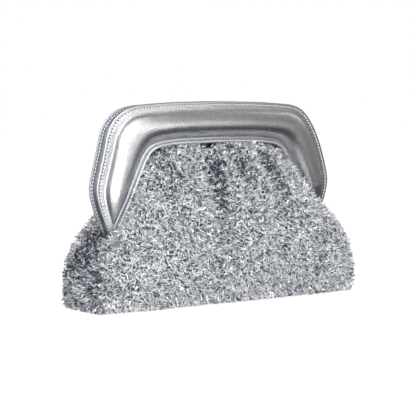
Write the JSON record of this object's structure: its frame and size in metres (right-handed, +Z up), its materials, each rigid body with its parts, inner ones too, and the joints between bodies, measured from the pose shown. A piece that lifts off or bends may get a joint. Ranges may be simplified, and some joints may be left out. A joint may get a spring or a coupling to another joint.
{
  "type": "evening bag",
  "caption": "Arch-frame evening bag: soft silver pile-fabric body and a padded metallic leather frame in two halves that swing apart on end pins.",
  "frame": {"origin": "centre of the underside, on the surface the bag stands on", "axes": "+X along the width, -Y out of the front face, +Z up"},
  "size_m": [0.306, 0.0852, 0.197],
  "materials": {
    "silver_leather": "metallic foil leather, semi-gloss",
    "lip_leather": "metallic foil leather, satin",
    "pile_fabric": "metallic tinsel pile",
    "lining_cloth": "fine twill",
    "foam": "soft foam padding",
    "board": "moulded stiffener",
    "steel": "nickel plated",
    "thread": "bonded polyester thread"
  },
  "bodies": {
    "bag_body": {"base_panel": "pile_fabric", "base_board": "board", "front_lower_panel": "pile_fabric", "rear_lower_panel": "pile_fabric", "left_gusset": "pile_fabric", "right_gusset": "pile_fabric", "lining": "lining_cloth", "slip_pocket": "lining_cloth", "left_hinge_tab": "silver_leather", "right_hinge_tab": "silver_leather", "left_hinge_pin": "steel", "right_hinge_pin": "steel"},
    "front_frame": {"front_cover": "silver_leather", "front_padding": "foam", "front_core": "board", "front_facing": "silver_leather", "front_rim_thread": "thread", "front_lip": "lip_leather", "front_lip_thread": "thread", "front_magnets": "steel", "front_left_leaf": "steel", "front_right_leaf": "steel", "front_rivets": "steel", "front_upper_panel": "pile_fabric", "front_upper_lining": "lining_cloth"},
    "rear_frame": {"rear_cover": "silver_leather", "rear_padding": "foam", "rear_core": "board", "rear_facing": "silver_leather", "rear_rim_thread": "thread", "rear_lip": "lip_leather", "rear_lip_thread": "thread", "rear_magnets": "steel", "rear_left_leaf": "steel", "rear_right_leaf": "steel", "rear_rivets": "steel", "rear_upper_panel": "pile_fabric", "rear_upper_lining": "lining_cloth"}
  },
  "joints": [
    {"name": "front_hinge", "type": "hinge", "parent": "bag_body", "child": "front_frame", "pos_m": [0, 0, 0.07], "axis": [1, 0, 0], "range_deg": [0, 28]},
    {"name": "rear_hinge", "type": "hinge", "parent": "bag_body", "child": "rear_frame", "pos_m": [0, 0, 0.07], "axis": [1, 0, 0], "range_deg": [-28, 0]}
  ],
  "couplings": [
    {"joint": "rear_hinge", "follows": "front_hinge", "ratio": -1}
  ]
}
